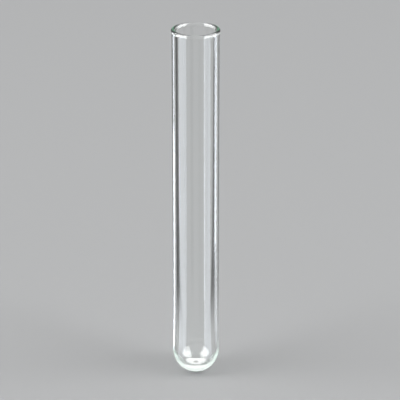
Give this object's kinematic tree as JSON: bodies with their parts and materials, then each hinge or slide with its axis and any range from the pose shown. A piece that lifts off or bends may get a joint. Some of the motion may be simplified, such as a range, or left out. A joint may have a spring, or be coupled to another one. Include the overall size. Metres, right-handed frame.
{
  "type": "test tube",
  "caption": "Rimless glass test tube with a round closed bottom and a fire-polished open mouth, for holding and heating small samples.",
  "frame": {"origin": "the lowest point of the round bottom, on the tube's axis", "axes": "+Z along the tube's axis, towards its open mouth; X and Y are alike"},
  "size_m": [0.0162, 0.0162, 0.125],
  "materials": {
    "glass": "clear, smooth, fire-polished, with a faint green in its thick edges"
  },
  "bodies": {
    "root": {"glass_tube": "glass"}
  },
  "joints": []
}
